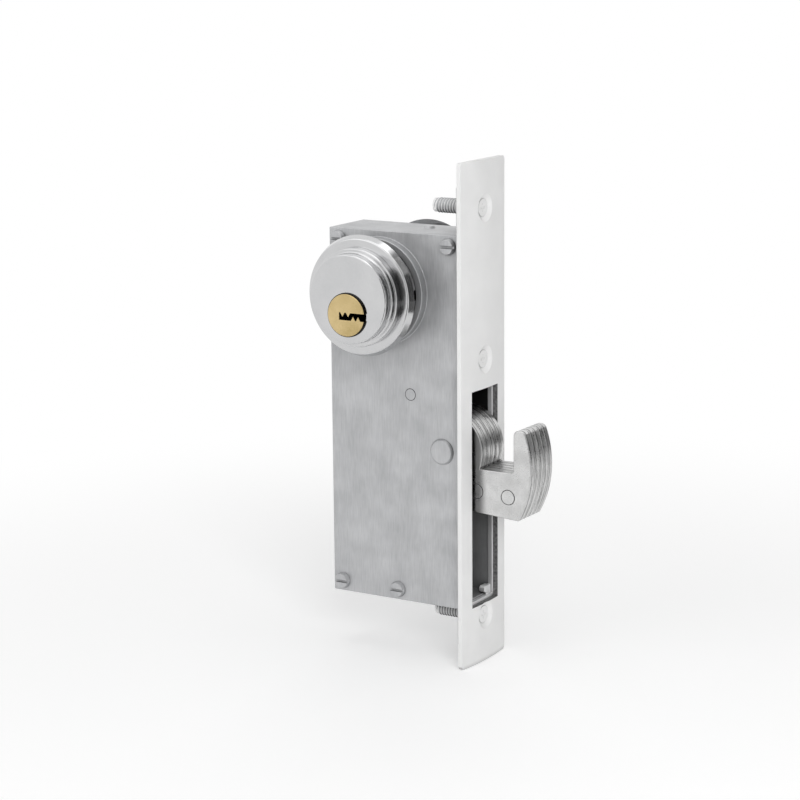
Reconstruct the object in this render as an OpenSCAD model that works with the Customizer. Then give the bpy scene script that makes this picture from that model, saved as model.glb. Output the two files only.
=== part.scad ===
// Mortise hook lock for a sliding patio door.
// +X points out of the door's edge, -Y to the key side, +Z up.
// The origin is on the plane where the faceplate seats on the door's edge.
// The hook is drawn thrown; a quarter turn of the key draws it back into the case.

/* [Door] */
// Thickness of the door between the two collars
door_t = 38.2; // [36:0.2:50]
// Door edge to the axis of the cylinders
backset = 27.7; // [26:0.1:34]
// Height of the cylinder axis above the origin
cylinder_z = 35.4; // [33:0.2:40]

/* [Faceplate] */
// Width of the faceplate across the door's edge
plate_w = 25.4; // [24:0.2:30]
// Thickness of the faceplate along its middle
plate_crown = 2.2; // [2:0.1:3]
// Thickness of the faceplate at its long edges
plate_edge = 1.3; // [0.8:0.1:1.6]
// Corner radius of the faceplate
plate_corner_r = 1.2; // [0.4:0.2:3]
// End screw to the end of the faceplate
plate_end = 13.8; // [10:0.2:18]
// Width of the seat left around the pocket in the back
plate_rim = 1.6; // [1.2:0.1:2.4]
// Depth of the pocket in the back
pocket_depth = 0.3; // [0.2:0.05:0.5]
// Gap between the hook and each side of the slot
slot_side_gap = 0.9; // [0.7:0.05:1.4]
// Reach of the slot above the hook's pivot
slot_above = 18.1; // [15:0.1:20]
// Reach of the slot below the hook's pivot
slot_below = 46.3; // [43:0.1:49]

/* [Faceplate screws] */
// Width of a screw's countersink at the surface
sink_d = 8; // [7.8:0.2:9]
// Width of the flat screw head
head_d = 5.2; // [5:0.2:6.2]
// Depth of the head below the faceplate's crown
head_depth = 0.9; // [0.6:0.1:1.1]
// Width of the screw's plain neck
neck_d = 4.4; // [4.2:0.1:4.6]
// Width of the screw's thread
stud_d = 4; // [3.4:0.1:4.1]
// Length of an end screw behind the case front
stud_l = 13; // [8:1:20]
// Length of the middle screw behind the case front
mid_screw_l = 6.5; // [4:0.5:7]
// Slot top to the middle screw
mid_screw_up = 8.6; // [7:0.2:10]
// Slot bottom to the lower end screw
low_screw_down = 3.8; // [3.8:0.1:6]
// Case top to the upper end screw
top_screw_up = 7.3; // [5:0.1:9]

/* [Case] */
// Thickness of the case's steel
wall = 1.6; // [1.2:0.1:2]
// Thickness of the steel strip at the front of the case
front_t = 1.5; // [1:0.1:1.8]
// End screw to the end of the front strip
front_end = 6.7; // [5:0.1:8]
// Cylinder thread to the case's top
case_top_room = 4; // [3.6:0.1:6]
// Cylinder thread to the case's back
case_back_room = 3.8; // [3.6:0.1:6]
// Height of the threaded boss that stands out from each side
boss_h = 3; // [2:0.2:4]
// Wall of the threaded boss
boss_wall = 2; // [1.4:0.1:2.4]
// Radius of a cover screw's post
post_r = 2.8; // [2.4:0.1:3.2]
// Width of a cover screw's head
cover_head_d = 5; // [4:0.2:5.4]
// Width of a cover screw's thread
cover_screw_d = 2.6; // [2:0.1:3]
// Depth of the block that takes the screws from the front
block_depth = 8; // [7.4:0.2:9]

/* [Hook] */
// Thickness of each hook plate
plate_t = 2.65; // [2.4:0.05:2.8]
// Door edge to the hook's pivot
pivot_in = 7.2; // [7:0.1:9]
// Height of the hook's pivot
pivot_z = -10.2; // [-13:0.2:-10]
// Radius of the hook's hub
hub_r = 11.8; // [11:0.1:12]
// Pivot down to the hook's lowest point
hook_drop = 18.4; // [18:0.1:18.6]
// Wall of the hook around the link's eye
tail_wall = 1.5; // [0.8:0.1:2.4]
// Pivot down to the top edge of the arm
arm_drop = 4.4; // [3.4:0.2:5.2]
// Pivot out to the inside of the claw
throat_out = 22.1; // [20:0.1:22.6]
// Pivot up to the top of the claw
claw_top = 8.2; // [6.6:0.2:8.2]
// Width of the claw where it is widest
claw_w = 5.7; // [5.2:0.1:6]
// Radius of the claw's outer curve
claw_r = 30; // [29.6:0.1:31]
// Radius of the corners at the claw's top
claw_tip_r = 1.6; // [0.6:0.1:1.6]
// Width of the rivets through the hook
hook_rivet_d = 4.2; // [3.6:0.1:4.6]
// Width of the pivot pin
pivot_d = 5; // [4:0.1:5.2]
// Wall of the bush on the pivot pin
bush_wall = 0.9; // [0.6:0.1:1.2]
// Thickness of the washers beside the hook
washer_t = 0.75; // [0.5:0.05:1]

/* [Linkage] */
// Radius of both cranks
crank_r = 11; // [10.8:0.1:11.2]
// Width of the crank pins
crank_pin_d = 3.6; // [3:0.1:3.8]
// Width of the link bar
link_w = 5; // [4.4:0.1:5.2]
// Radius of the link's eyes
link_eye_r = 4.2; // [3.8:0.1:4.3]
// Thickness of the drive cam
cam_t = 2.2; // [1.8:0.1:2.6]
// Width of the cam's square hub
cam_square = 11.4; // [10.6:0.2:12]
// Thickness of the detent leaf
leaf_t = 0.5; // [0.4:0.05:0.6]
// Width of the stop post
stop_d = 5; // [4:0.1:5.2]

/* [Cylinders] */
// Width over the cylinder's thread
thread_d = 27.2; // [26.8:0.1:28]
// Depth of the thread
thread_depth = 0.45; // [0.3:0.05:0.6]
// Number of ridges on a cylinder
ridges = 20; // [12:1:24]
// Width of the collar on the door
collar_d = 35.2; // [34:0.2:38]
// Height of the collar
collar_h = 2.1; // [2:0.1:3]
// Inward slope of the collar's side
collar_slope = 0.7; // [0.3:0.1:1]
// Width of the ring under the cylinder's cap
ring_d = 28.6; // [28.4:0.1:30]
// Height of that ring
ring_h = 2.2; // [1.6:0.1:2.6]
// Width of the cylinder's cap
cap_d = 25.8; // [25:0.1:26.4]
// Height of the cylinder's face above the door
face_h = 7.8; // [7.4:0.1:9]
// Cylinder axis down to the plug's axis
plug_drop = 4.4; // [4:0.1:5]
// Width of the key plug
plug_d = 12.7; // [12:0.1:13]
// Height of the plug above the cylinder's face
plug_proud = 1; // [0.6:0.1:1.4]
// Height of the keyway
keyway_h = 2.2; // [1.8:0.1:2.6]
// Width of the pins
pin_d = 2.3; // [2:0.05:2.4]
// Number of pin chambers
pin_count = 5; // [3:1:5]
// Width of the tailpiece
tail_w = 6; // [5:0.1:7]
// Thickness of the tailpiece
tail_t = 2; // [1.6:0.1:2.4]

/* [Thumbturn] */
// Width of the thumbturn's spindle
spindle_d = 10; // [9:0.2:11]
// Height of the inner cylinder's face above the door
inner_face_h = 5; // [4.6:0.1:6]
// Length of the thumbturn's wing
wing_l = 24; // [20:1:30]
// Thickness of the wing
wing_t = 6; // [5:0.2:8]
// Height of the wing above its base
wing_h = 12; // [9:0.5:16]

/* [Fits] */
// Radial clearance of pins that turn
run_gap = 0.05; // [0.03:0.01:0.08]
// Clearance of pieces that sit in cut-outs
seat_gap = 0.1; // [0.05:0.05:0.2]
// Clearance of moving pieces that pass each other
pass_gap = 0.3; // [0.25:0.05:0.4]

/* [Hidden] */
$fn = 72;

// Cut-outs run this far past the faces that they open
over = 1;
plate_count = 5;
mid_plate = (plate_count + 1) / 2;
quarter = 90;

// Axes in the XZ plane
cylinder_at = [-backset, cylinder_z];
plug_at = cylinder_at - [0, plug_drop];
pivot_at = [-pivot_in, pivot_z];
link_vec = pivot_at - plug_at;
link_l = norm(link_vec);
link_a = atan2(link_vec.y, link_vec.x);
crank_a = link_a - quarter / 2;
crank_vec = crank_r * dir(crank_a);
drive_pin_at = plug_at + crank_vec;
hook_pin_at = pivot_at + crank_vec;
stop_off = link_w / 2 + stop_d / 2 + pass_gap;
stop_share = 0.42;
stop_at = drive_pin_at + stop_share * link_vec + stop_off * [-sin(link_a), cos(link_a)];

// Layers across the door
hook_half = plate_count * plate_t / 2;
inner_half = hook_half + washer_t + seat_gap;
case_half = inner_half + wall;
wall_mid = inner_half + wall / 2;
lam_gap = 0.03;
link_half = plate_t / 2 - seat_gap;
pinned_plates = 3;
pinned_half = pinned_plates * plate_t / 2 - seat_gap;
cam_y0 = link_half + pass_gap;
cam_y1 = cam_y0 + cam_t;
turn_rear = cam_y1 + pass_gap;
crank_head_t = 0.8;
crank_head_lip = 1;
crank_head_taper = 0.4;
cap_t = 1.8;
cap_y1 = -link_half - 2 * pass_gap;
cap_y0 = cap_y1 - cap_t;
shell_rear = cap_y0 - seat_gap;
door_half = door_t / 2;

// Places along the faceplate
slot_top = pivot_z + slot_above;
slot_bottom = pivot_z - slot_below;
slot_half = hook_half + slot_side_gap;
case_below_slot = 0.4;
case_bottom = slot_bottom - case_below_slot;
thread_r = thread_d / 2;
case_top = cylinder_z + thread_r + case_top_room;
case_back = -backset - thread_r - case_back_room;
low_screw_z = slot_bottom - low_screw_down;
mid_screw_z = slot_top + mid_screw_up;
top_screw_z = case_top + top_screw_up;
plate_z0 = low_screw_z - plate_end;
plate_z1 = top_screw_z + plate_end;
front_z0 = low_screw_z - front_end;
front_z1 = top_screw_z + front_end;
front_x1 = pocket_depth;
front_x0 = front_x1 - front_t;
front_half = plate_w / 2 - plate_rim - seat_gap;
front_slot_half = hook_half + slot_side_gap / 2;
front_slot_lip = 0.8;
crown_rise = plate_crown - plate_edge;
crown_r = plate_w * plate_w / (8 * crown_rise) + crown_rise / 2;
crown_fn = 360;

// Screw sizes that follow the driving ones
sink_slope = (sink_d - head_d) / 2 / head_depth;
head_t = 0.5;
screw_hole_r = neck_d / 2 + seat_gap;
neck_past = 0.2;
cross_l = 2.4;
cross_w = 0.5;
cross_depth = 0.12;
set_screw_r = 1.25;
set_groove = 1.6;
set_in = set_screw_r + pass_gap;
set_sunk = 1;
set_slot_depth = 1;
set_y = [shell_rear - set_in, turn_rear + set_in];
block_x0 = front_x0 - block_depth;
block_edge = 3.2;
block_z0 = mid_screw_z - stud_d / 2 - block_edge;
block_z1 = cylinder_z + set_screw_r + block_edge;

// Posts for the cover screws, held clear of the hook's swing
post_edge_gap = 0.4;
post_in = post_r + post_edge_gap;
post_front_x = front_x0 - post_in - post_edge_gap;
post_low_x = case_back / 2;
posts = [
  [case_back + post_in, case_top - post_in], [post_front_x, case_top - post_in],
  [case_back + post_in, case_bottom + post_in], [post_low_x, case_bottom + post_in]
];
cover_head_h = 1.6;
cover_head_taper = 0.4;
slot_key_w = 0.8;
stop_tenon_share = 1 / 3;
stop_tenon_r = stop_d * stop_tenon_share;

// Hook outline, about its own pivot
claw_mid = -3.4;
claw_center = [throat_out + claw_w - claw_r, claw_mid];
claw_low_a = asin((-hook_drop - claw_center.y) / claw_r);
claw_low = claw_center + claw_r * dir(claw_low_a);
link_eye_cut = link_eye_r + pass_gap;
hook_tail_r = link_eye_cut + tail_wall;
bottom_vec = claw_low - crank_vec;
tail_end_a = 360 + atan2(bottom_vec.y, bottom_vec.x) - acos(hook_tail_r / norm(bottom_vec));
hub_arm_a = -asin(arm_drop / hub_r);
tail_tangent_a = crank_a + 360 - acos((hub_r - hook_tail_r) / crank_r);
claw_tip_a = asin((claw_top - claw_tip_r - claw_center.y) / (claw_r - claw_tip_r));
claw_tip_out = claw_center + (claw_r - claw_tip_r) * dir(claw_tip_a);
claw_tip_in = [throat_out + claw_tip_r, claw_top - claw_tip_r];
throat_r = 0.8;
throat_fillet = [throat_out - throat_r, throat_r - arm_drop];
rivet_depth = (hook_drop + arm_drop) / 2;
claw_rivet_back = 1.8;
hub_rivet_back = 1.9;
rivet_tilt = 0.3;
hook_rivets_at = [
  [throat_out - claw_rivet_back, -rivet_depth - rivet_tilt],
  [hub_r - hub_rivet_back, -rivet_depth + rivet_tilt]
];
pivot_r = pivot_d / 2;
bush_r = pivot_r + run_gap + bush_wall;
washer_lip = 2.5;
washer_r = bush_r + washer_lip;
crank_pin_r = crank_pin_d / 2;
rivet_head_t = 0.8;
rivet_head_lip = 1.4;
rivet_head_taper = 0.6;
link_cut = link_w / 2 + pass_gap + seat_gap;
open_pivot_gap = 0.2;
cam_eye_r = 4;
leaf_x = plug_at.x + cam_square / 2 + run_gap;
leaf_tip_up = 1;
leaf_z0 = plug_at.y - cam_square / 2 + leaf_tip_up;
leaf_z1 = case_top - wall;
leaf_foot = 8;
leaf_rivet_r = 0.9;
leaf_rivet_at = [leaf_x + leaf_foot / 2, (cam_y0 + cam_y1) / 2];
leaf_head_t = 0.6;
leaf_head_taper = 0.4;
leaf_head_lip = 0.3;
top_head_lip = 0.9;
tongue_r = 1.1;
tongue_depth = 1.2;
tongue_side = 2.2;
tongue_inset = 0.1;
tongue_at = [front_slot_half - tongue_side, case_bottom + wall + seat_gap + tongue_r];

// Cylinder heights, counted outwards from the middle of the door
plug_r = plug_d / 2;
neck_r = thread_r - thread_depth;
thread_gap = 0.15;
thread_bore = thread_r + thread_gap;
ridge_shift = 0.25;
rear_chamfer = 0.6;
rear_chamfer_h = 0.1;
thread_start = 0.2;
thread_end = 0.4;
ring_y0 = door_half + collar_h + seat_gap;
ring_y1 = ring_y0 + ring_h;
ring_round = 0.5;
face_y = door_half + face_h;
plug_y = face_y + plug_proud;
keyway_l = 2.2;
keyway_drop = 0.3;
cap_r = cap_d / 2;
cap_round = 0.5;
cap_cove = 0.5;
cap_foot = 0.2;
collar_round = 0.6;
collar_round_a = 20;
pin_r = pin_d / 2;
pin_wall = 0.4;
tail_in = 1;
pin_lead = 1.6;
pin_first = -door_half + pin_r + pin_lead;
pin_last = shell_rear - tail_in - pin_r - pin_wall;
pin_pitch = (pin_last - pin_first) / (pin_count - 1);
pin_above_keyway = 0.2;
pin_below_shear = 0.35;
pin_point = 0.4;
driver_above_shear = 0.12;
pin_z0 = plug_at.y - keyway_drop + keyway_h / 2 + pin_above_keyway;
pin_z1 = plug_at.y + plug_r - pin_below_shear;
driver_z0 = plug_at.y + plug_r + driver_above_shear;
driver_l = 4;
spring_gap = 0.1;
spring_wire = 0.4;
cover_side = 0.8;
cover_sunk = 0.4;
cover_t = 0.8;
cover_end = 0.2;
cover_w = pin_d + 2 * cover_side;
cover_z1 = cylinder_z + neck_r - cover_sunk;
cover_z0 = cover_z1 - cover_t;
tail_reach = 8;
tail_out = turn_rear + tail_reach;
plug_cap_lip = 0.85;
plug_cap_r = plug_r + plug_cap_lip;
cap_screw_r = 0.7;
cap_screw_out = 2.4;
cap_screw_at = tail_t / 2 + cap_screw_r + cap_screw_out;
cap_screw_head = 1.25;
cap_screw_head_t = 0.7;
cap_screw_l = 2.8;
cap_screw_room = 0.2;
cap_slot_w = 0.4;
cap_slot_depth = 0.25;
cap_screws_at = [for (s = [-1, 1]) plug_at + [s * cap_screw_at, 0]];
tooth_half = 0.7;
keyway_neck = 1;
tooth_h = keyway_h - keyway_neck;
teeth_down = [0.85, -1.05];
teeth_up = [2.5, 4.2];
plug_chamfer = 0.45;
keyway_end = 0.6;

// Inner cylinder and thumbturn
spindle_r = spindle_d / 2;
inner_face_y = door_half + inner_face_h;
spindle_end = 0.2;
base_lip = 2.5;
base_r = spindle_r + base_lip;
base_h = 1.6;
base_taper = 0.6;
wing_root = 0.5;
inner_round = 1;
clip_room = 2;
clip_t = 0.8;
clip_lip = 1.4;
clip_r = spindle_r + clip_lip;
clip_groove = 0.8;
clip_open = 1.5;
clip_mid = turn_rear + clip_room / 2;

// Steps in the drawn curves
round_n = 6;
hub_n = 40;
tail_n = 14;
claw_n = 18;
wing_n = 12;

function dir(a) = [cos(a), sin(a)];
function arc(c, r, a0, a1, n) = [for (i = [0:n]) c + r * dir(a0 + (a1 - a0) * i / n)];

module box(lo, hi) translate(lo) cube(hi - lo);

// A cylinder along Y, at a place in the XZ plane
module y_rod(at, y0, y1, r, r2 = -1)
  translate([at.x, y0, at.y]) rotate([-90, 0, 0])
    cylinder(h = y1 - y0, r1 = r, r2 = r2 < 0 ? r : r2);

// A cylinder along X
module x_rod(y, z, x0, x1, r, r2 = -1)
  translate([x0, y, z]) rotate([0, 90, 0])
    cylinder(h = x1 - x0, r1 = r, r2 = r2 < 0 ? r : r2);

// An outline in the XZ plane, given thickness along Y
module y_slab(y0, y1)
  translate([0, y1, 0]) rotate([90, 0, 0]) linear_extrude(y1 - y0) children();

// A profile turned about the cylinder axis, drawn with +Y as its height
module turned(profile)
  translate([cylinder_at.x, 0, cylinder_at.y]) rotate([90, 0, 0])
    rotate_extrude() polygon(profile);

// Faceplate and its screws
module faceplate() color("white") difference() {
  intersection() {
    translate([0, 0, plate_z0]) plate_block();
    translate([plate_crown - crown_r, 0, plate_z0 - over])
      cylinder(h = plate_z1 - plate_z0 + 2 * over, r = crown_r, $fn = crown_fn);
  }
  box([-over, -front_half - seat_gap, front_z0 - seat_gap],
    [pocket_depth, front_half + seat_gap, front_z1 + seat_gap]);
  box([-over, -slot_half, slot_bottom], [plate_crown + over, slot_half, slot_top]);
  for (z = [low_screw_z, mid_screw_z, top_screw_z]) {
    x_rod(0, z, -over, plate_crown + over, screw_hole_r);
    x_rod(0, z, plate_crown - head_depth - head_t - seat_gap, plate_crown + over,
      head_d / 2 + seat_gap - head_t * sink_slope, sink_d / 2 + seat_gap + over * sink_slope);
  }
}

module plate_block() {
  corner_y = plate_w / 2 - plate_corner_r;
  h = plate_z1 - plate_z0;
  box([0, -corner_y, 0], [plate_crown, corner_y, h]);
  box([0, -plate_w / 2, plate_corner_r], [plate_crown, plate_w / 2, h - plate_corner_r]);
  for (y = [-corner_y, corner_y], z = [plate_corner_r, h - plate_corner_r])
    x_rod(y, z, 0, plate_crown, plate_corner_r);
}

module plate_screw(z, length) color("white") difference() {
  head_x = plate_crown - head_depth;
  neck_x = front_x0 - neck_past;
  union() {
    x_rod(0, z, head_x - head_t, head_x, head_d / 2 - head_t * sink_slope, head_d / 2);
    x_rod(0, z, neck_x, head_x - head_t / 2, neck_d / 2);
    x_rod(0, z, front_x0 - length, neck_x + over, stud_d / 2);
  }
  for (turn = [0, 90])
    translate([head_x, 0, z]) rotate([turn, 0, 0])
      cube([2 * cross_depth, cross_l, cross_w], center = true);
}

// Case
module case_front() color("silver") {
  difference() {
    box([front_x0, -front_half, front_z0], [front_x1, front_half, front_z1]);
    box([front_x0 - over, -front_slot_half, slot_bottom + front_slot_lip],
      [front_x1 + over, front_slot_half, slot_top - front_slot_lip]);
    for (z = [low_screw_z, mid_screw_z, top_screw_z])
      x_rod(0, z, front_x0 - over, front_x1 + over, screw_hole_r);
    for (y = set_y)
      x_rod(y, cylinder_z, front_x0 - over, front_x1 + over, set_screw_r + pass_gap);
  }
  tongue();
}

// Tongue bent back from the corner of the strip's slot
module tongue() {
  tongue_x1 = front_x0 + front_t / 2;
  x_rod(tongue_at.x, tongue_at.y, front_x0 - tongue_depth, tongue_x1, tongue_r);
  box([front_x0 - tongue_depth, tongue_at.x, tongue_at.y - tongue_r + tongue_inset],
    [tongue_x1, front_slot_half + tongue_inset, tongue_at.y + tongue_r - tongue_inset]);
  box([front_x0, tongue_at.x, slot_bottom + front_slot_lip - tongue_inset],
    [tongue_x1, front_slot_half + tongue_inset, tongue_at.y]);
}

module case_body() color("silver") difference() {
  union() {
    box([case_back, inner_half, case_bottom], [front_x0, case_half, case_top]);
    box([case_back, -inner_half, case_bottom], [case_back + wall, wall_mid, case_top]);
    box([case_back, -inner_half, case_top - wall], [front_x0, wall_mid, case_top]);
    box([case_back, -inner_half, case_bottom], [front_x0, wall_mid, case_bottom + wall]);
    box([block_x0, -inner_half, block_z0], [front_x0, wall_mid, block_z1]);
    for (p = posts) y_rod(p, -inner_half, wall_mid, post_r);
    y_rod(cylinder_at, wall_mid, case_half + boss_h, thread_bore + boss_wall);
  }
  y_rod(cylinder_at, inner_half - over, case_half + boss_h + over, thread_bore);
  for (p = posts) y_rod(p, -inner_half - over, inner_half - over, cover_screw_d / 2 + run_gap);
  wall_pin_holes();
  x_rod(0, mid_screw_z, block_x0 - over, front_x0 + over, stud_d / 2 + seat_gap);
  x_rod(0, mid_screw_z, front_x0 - neck_past - seat_gap, front_x0 + over, screw_hole_r);
  for (y = set_y) x_rod(y, cylinder_z, block_x0 - over, front_x0 + over, set_screw_r + run_gap);
  translate([leaf_rivet_at.x, leaf_rivet_at.y, case_top - wall - over])
    cylinder(h = wall + 2 * over, r = leaf_rivet_r + run_gap);
}

module case_cover() color("silver") difference() {
  union() {
    box([case_back, -case_half, case_bottom], [front_x0, -inner_half, case_top]);
    y_rod(cylinder_at, -case_half - boss_h, -wall_mid, thread_bore + boss_wall);
  }
  y_rod(cylinder_at, -case_half - boss_h - over, -inner_half + over, thread_bore);
  for (p = posts) y_rod(p, -case_half - over, -inner_half + over, cover_screw_d / 2 + seat_gap);
  wall_pin_holes();
}

module wall_pin_holes() {
  y_rod(pivot_at, -case_half - over, case_half + over, pivot_r + run_gap);
  y_rod(stop_at, -case_half - over, case_half + over, stop_tenon_r + run_gap);
}

module cover_screws() color("silver") for (p = posts) difference() {
  union() {
    y_rod(p, -case_half - cover_head_h, -case_half,
      cover_head_d / 2 - cover_head_taper, cover_head_d / 2);
    y_rod(p, -case_half - over / 2, inner_half - 2 * over, cover_screw_d / 2);
  }
  translate([p.x, -case_half - cover_head_h, p.y])
    cube([cover_head_d, cover_head_h, slot_key_w], center = true);
}

module stop_post() color("silver") {
  y_rod(stop_at, -inner_half, inner_half, stop_d / 2);
  y_rod(stop_at, -case_half, case_half, stop_tenon_r);
}

module hook_pivot_pin() color("silver") {
  lip_r = pivot_r + rivet_head_lip;
  y_rod(pivot_at, -case_half - rivet_head_t, case_half + rivet_head_t, pivot_r);
  y_rod(pivot_at, -case_half - rivet_head_t, -case_half, lip_r - rivet_head_taper, lip_r);
  y_rod(pivot_at, case_half, case_half + rivet_head_t, lip_r, lip_r - rivet_head_taper);
}

module pivot_washers() color("gray") for (y = [-inner_half, inner_half - washer_t]) difference() {
  y_rod(pivot_at, y, y + washer_t, washer_r);
  y_rod(pivot_at, y - over, y + washer_t + over, pivot_r + run_gap);
}

// Leaf that bears on the square hub, with its foot under the case's top
module detent_leaf() color("dimgray") difference() {
  union() {
    box([leaf_x, cam_y0, leaf_z0], [leaf_x + leaf_t, cam_y1, leaf_z1]);
    box([leaf_x, cam_y0, leaf_z1 - leaf_t], [leaf_x + leaf_foot, cam_y1, leaf_z1]);
  }
  translate([leaf_rivet_at.x, leaf_rivet_at.y, leaf_z1 - leaf_t - over])
    cylinder(h = leaf_t + 2 * over, r = leaf_rivet_r + run_gap);
}

module detent_rivet() color("silver") translate([leaf_rivet_at.x, leaf_rivet_at.y, 0]) {
  head_z = leaf_z1 - leaf_t - leaf_head_t;
  low_r = leaf_rivet_r + leaf_head_lip;
  top_r = leaf_rivet_r + top_head_lip;
  translate([0, 0, head_z]) cylinder(h = leaf_head_t, r1 = low_r - leaf_head_taper, r2 = low_r);
  translate([0, 0, head_z]) cylinder(h = case_top - head_z, r = leaf_rivet_r);
  translate([0, 0, case_top]) cylinder(h = leaf_head_t, r1 = top_r, r2 = top_r - leaf_head_taper);
}

module set_screw(y) color("dimgray") difference() {
  x_rod(y, cylinder_z, -backset + thread_r - set_groove + pass_gap, front_x0 - set_sunk, set_screw_r);
  box([front_x0 - set_sunk - set_slot_depth, y - set_screw_r, cylinder_z - slot_key_w / 2],
    [front_x0, y + set_screw_r, cylinder_z + slot_key_w / 2]);
}

// Ridges of the cylinder's thread between two heights
function ridge_points(y0, y1) = [for (i = [0:ridges - 1], crest = [0, 1])
  [crest == 1 ? thread_r : neck_r, y0 + (i + crest / 2 + ridge_shift) * (y1 - y0) / ridges]];

// Threaded barrel with a flange that holds the collar against the door
function barrel_profile(rear, head) = concat(
  [[0, rear], [neck_r - rear_chamfer, rear], [neck_r, rear + rear_chamfer_h]],
  ridge_points(rear + thread_start, door_half - thread_end),
  [[neck_r, door_half], [neck_r, ring_y0]],
  head
);

module groove_for_set_screw(y0, y1)
  box([-backset + thread_r - set_groove, y0, cylinder_z - set_screw_r - pass_gap],
    [-backset + thread_r + over, y1, cylinder_z + set_screw_r + pass_gap]);

module cylinder_body() color("gainsboro") difference() {
  turned(barrel_profile(-shell_rear, concat(
    [[ring_d / 2, ring_y0]],
    arc([ring_d / 2 - ring_round, ring_y1 - ring_round], ring_round, 0, 90, round_n),
    [[cap_r + cap_cove, ring_y1]],
    arc([cap_r + cap_cove, ring_y1 + cap_foot + cap_cove], cap_cove, 270, 180, round_n),
    arc([cap_r - cap_round, face_y - cap_round], cap_round, 0, 90, round_n),
    [[0, face_y]]
  )));
  y_rod(plug_at, -plug_y - over, shell_rear + over, plug_r + run_gap);
  for (i = [0:pin_count - 1]) pin_rod(i, plug_at.y, cover_z0 + over / 2, pin_r + run_gap);
  box([plug_at.x - cover_w / 2 - seat_gap, -door_half - over / 2, cover_z0],
    [plug_at.x + cover_w / 2 + seat_gap, shell_rear + over, cylinder_z + thread_r + over]);
  groove_for_set_screw(-door_half + over, shell_rear + over);
}

module pin_rod(i, z0, z1, r, r0 = -1)
  translate([plug_at.x, pin_first + i * pin_pitch, z0])
    cylinder(h = z1 - z0, r1 = r0 < 0 ? r : r0, r2 = r);

module collar() {
  top_y = door_half + collar_h;
  turned(concat(
    [[thread_bore, door_half], [collar_d / 2, door_half]],
    arc([collar_d / 2 - collar_slope - collar_round, top_y - collar_round],
      collar_round, collar_round_a, 90, round_n),
    [[thread_bore, top_y]]
  ));
}

module cylinder_collar() color("gainsboro") collar();

module driver_pins() color("gold")
  for (i = [0:pin_count - 1]) pin_rod(i, driver_z0, driver_z0 + driver_l, pin_r);

module pin_springs() color("dimgray") for (i = [0:pin_count - 1]) difference() {
  pin_rod(i, driver_z0 + driver_l, cover_z0, pin_r - spring_gap);
  pin_rod(i, driver_z0 + driver_l - over, cover_z0 + over, pin_r - spring_gap - spring_wire);
}

module pin_cover() color("gold")
  box([plug_at.x - cover_w / 2, -door_half, cover_z0],
    [plug_at.x + cover_w / 2, shell_rear - cover_end, cover_z1]);

// Key plug and the pieces that turn with it
module keyway() {
  h = keyway_h / 2;
  function tooth(x, up) =
    [[x - up * tooth_half, -up * h], [x, up * (tooth_h - h)], [x + up * tooth_half, -up * h]];
  polygon(concat(
    [[-keyway_l, -h]],
    [for (x = teeth_up) each tooth(x, 1)],
    [[plug_r + over, -h], [plug_r + over, h]],
    [for (x = teeth_down) each tooth(x, -1)],
    [[-keyway_l, h]]
  ));
}

module tail_bar(y0, y1, gap)
  box([plug_at.x - tail_t / 2 - gap, y0, plug_at.y - tail_w / 2 - gap],
    [plug_at.x + tail_t / 2 + gap, y1, plug_at.y + tail_w / 2 + gap]);

module key_plug() color("gold") difference() {
  union() {
    y_rod(plug_at, -plug_y + plug_chamfer, shell_rear, plug_r);
    y_rod(plug_at, -plug_y, -plug_y + plug_chamfer, plug_r - plug_chamfer, plug_r);
  }
  y_slab(-plug_y - over, shell_rear - tail_in - keyway_end) translate(plug_at - [0, keyway_drop]) keyway();
  for (i = [0:pin_count - 1]) pin_rod(i, plug_at.y, plug_at.y + plug_r + over, pin_r + run_gap);
  tail_bar(shell_rear - tail_in, shell_rear + over, seat_gap);
  for (at = cap_screws_at)
    y_rod(at, shell_rear - cap_screw_l - cap_screw_room, shell_rear + over, cap_screw_r + run_gap);
}

module key_pins() color("gold")
  for (i = [0:pin_count - 1]) pin_rod(i, pin_z0, pin_z1, pin_r, pin_r - pin_point);

module plug_cap() color("gold") difference() {
  y_rod(plug_at, cap_y0, cap_y1, plug_cap_r);
  tail_bar(cap_y0 - over, cap_y1 + over, seat_gap);
  for (at = cap_screws_at) {
    y_rod(at, cap_y0 - over, cap_y1 + over, cap_screw_r + run_gap);
    y_rod(at, cap_y1 - cap_screw_head_t, cap_y1 + over, cap_screw_head + seat_gap);
  }
}

module plug_cap_screws() color("silver") for (at = cap_screws_at) difference() {
  union() {
    y_rod(at, shell_rear - cap_screw_l, cap_y1 - cap_screw_head_t / 2, cap_screw_r);
    y_rod(at, cap_y1 - cap_screw_head_t, cap_y1, cap_screw_head);
  }
  translate([at.x, cap_y1, at.y])
    cube([cap_slot_w, 2 * cap_slot_depth, 2 * cap_screw_head + over], center = true);
}

module tailpiece() color("silver") tail_bar(shell_rear - tail_in, tail_out, 0);

// A flat bar that starts at the origin and runs along X
module bar(l) translate([0, -link_w / 2]) square([l, link_w]);

module drive_cam() color("silver") difference() {
  union() {
    y_slab(cam_y0, cam_y1) translate(plug_at) square(cam_square, center = true);
    y_slab(cam_y0, cam_y1) translate(plug_at) rotate(crank_a) bar(crank_r);
    y_rod(drive_pin_at, cam_y0, cam_y1, cam_eye_r);
  }
  tail_bar(cam_y0 - over, cam_y1 + over, seat_gap);
  y_rod(drive_pin_at, cam_y0 - over, cam_y1 + over, crank_pin_r + run_gap);
}

module drive_crank_pin() color("silver") {
  head_y1 = -link_half - seat_gap;
  head_y0 = head_y1 - crank_head_t;
  head_r = crank_pin_r + crank_head_lip;
  y_rod(drive_pin_at, head_y0, cam_y1, crank_pin_r);
  y_rod(drive_pin_at, head_y0, head_y1, head_r - crank_head_taper, head_r);
}

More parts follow.
